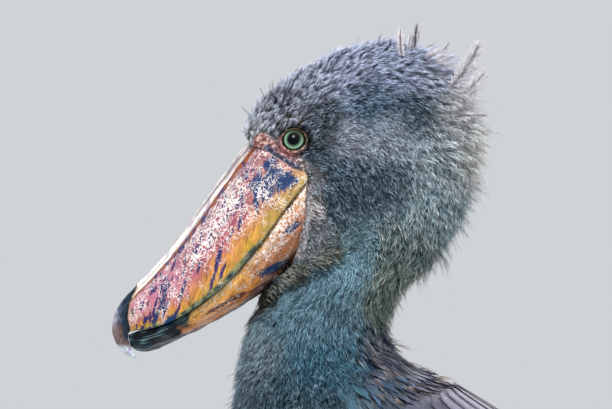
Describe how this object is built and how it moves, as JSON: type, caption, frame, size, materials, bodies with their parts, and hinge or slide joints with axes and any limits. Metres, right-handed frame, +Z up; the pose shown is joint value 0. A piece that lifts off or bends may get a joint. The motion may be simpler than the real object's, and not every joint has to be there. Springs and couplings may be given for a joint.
{
  "type": "shoebill",
  "caption": "Life-size standing shoebill with closed hooked bill, short crest and folded wings, as a still museum model.",
  "frame": {"origin": "centre of the underside of the bird's box, on the floor that its soles rest on", "axes": "+Z up; the bird faces -X, and its own left side is -Y"},
  "size_m": [0.6558, 0.3028, 1.18],
  "materials": {
    "plumage": "soft, layered body feathers, slate blue-grey with paler edges",
    "flight_feathers": "close-knit vanes, dark slate with a faint green sheen and paler edges",
    "bill": "horn sheath, satin, mottled pink, straw and slate, flaking",
    "eye": "wet and glossy, pale green iris round a dark pupil",
    "leg_skin": "scaled skin, dull slate",
    "claw": "dark horn, satin"
  },
  "bodies": {
    "root": {"head": "plumage", "neck": "plumage", "torso": "plumage", "tail": "flight_feathers", "upper_bill": "bill", "lower_bill": "bill", "left_eye": "eye", "left_wing": "flight_feathers", "left_thigh": "plumage", "left_shank": "leg_skin", "left_inner_toe": "leg_skin", "left_middle_toe": "leg_skin", "left_outer_toe": "leg_skin", "left_hind_toe": "leg_skin", "left_inner_claw": "claw", "left_middle_claw": "claw", "left_outer_claw": "claw", "left_hind_claw": "claw", "right_eye": "eye", "right_wing": "flight_feathers", "right_thigh": "plumage", "right_shank": "leg_skin", "right_inner_toe": "leg_skin", "right_middle_toe": "leg_skin", "right_outer_toe": "leg_skin", "right_hind_toe": "leg_skin", "right_inner_claw": "claw", "right_middle_claw": "claw", "right_outer_claw": "claw", "right_hind_claw": "claw"}
  },
  "joints": []
}
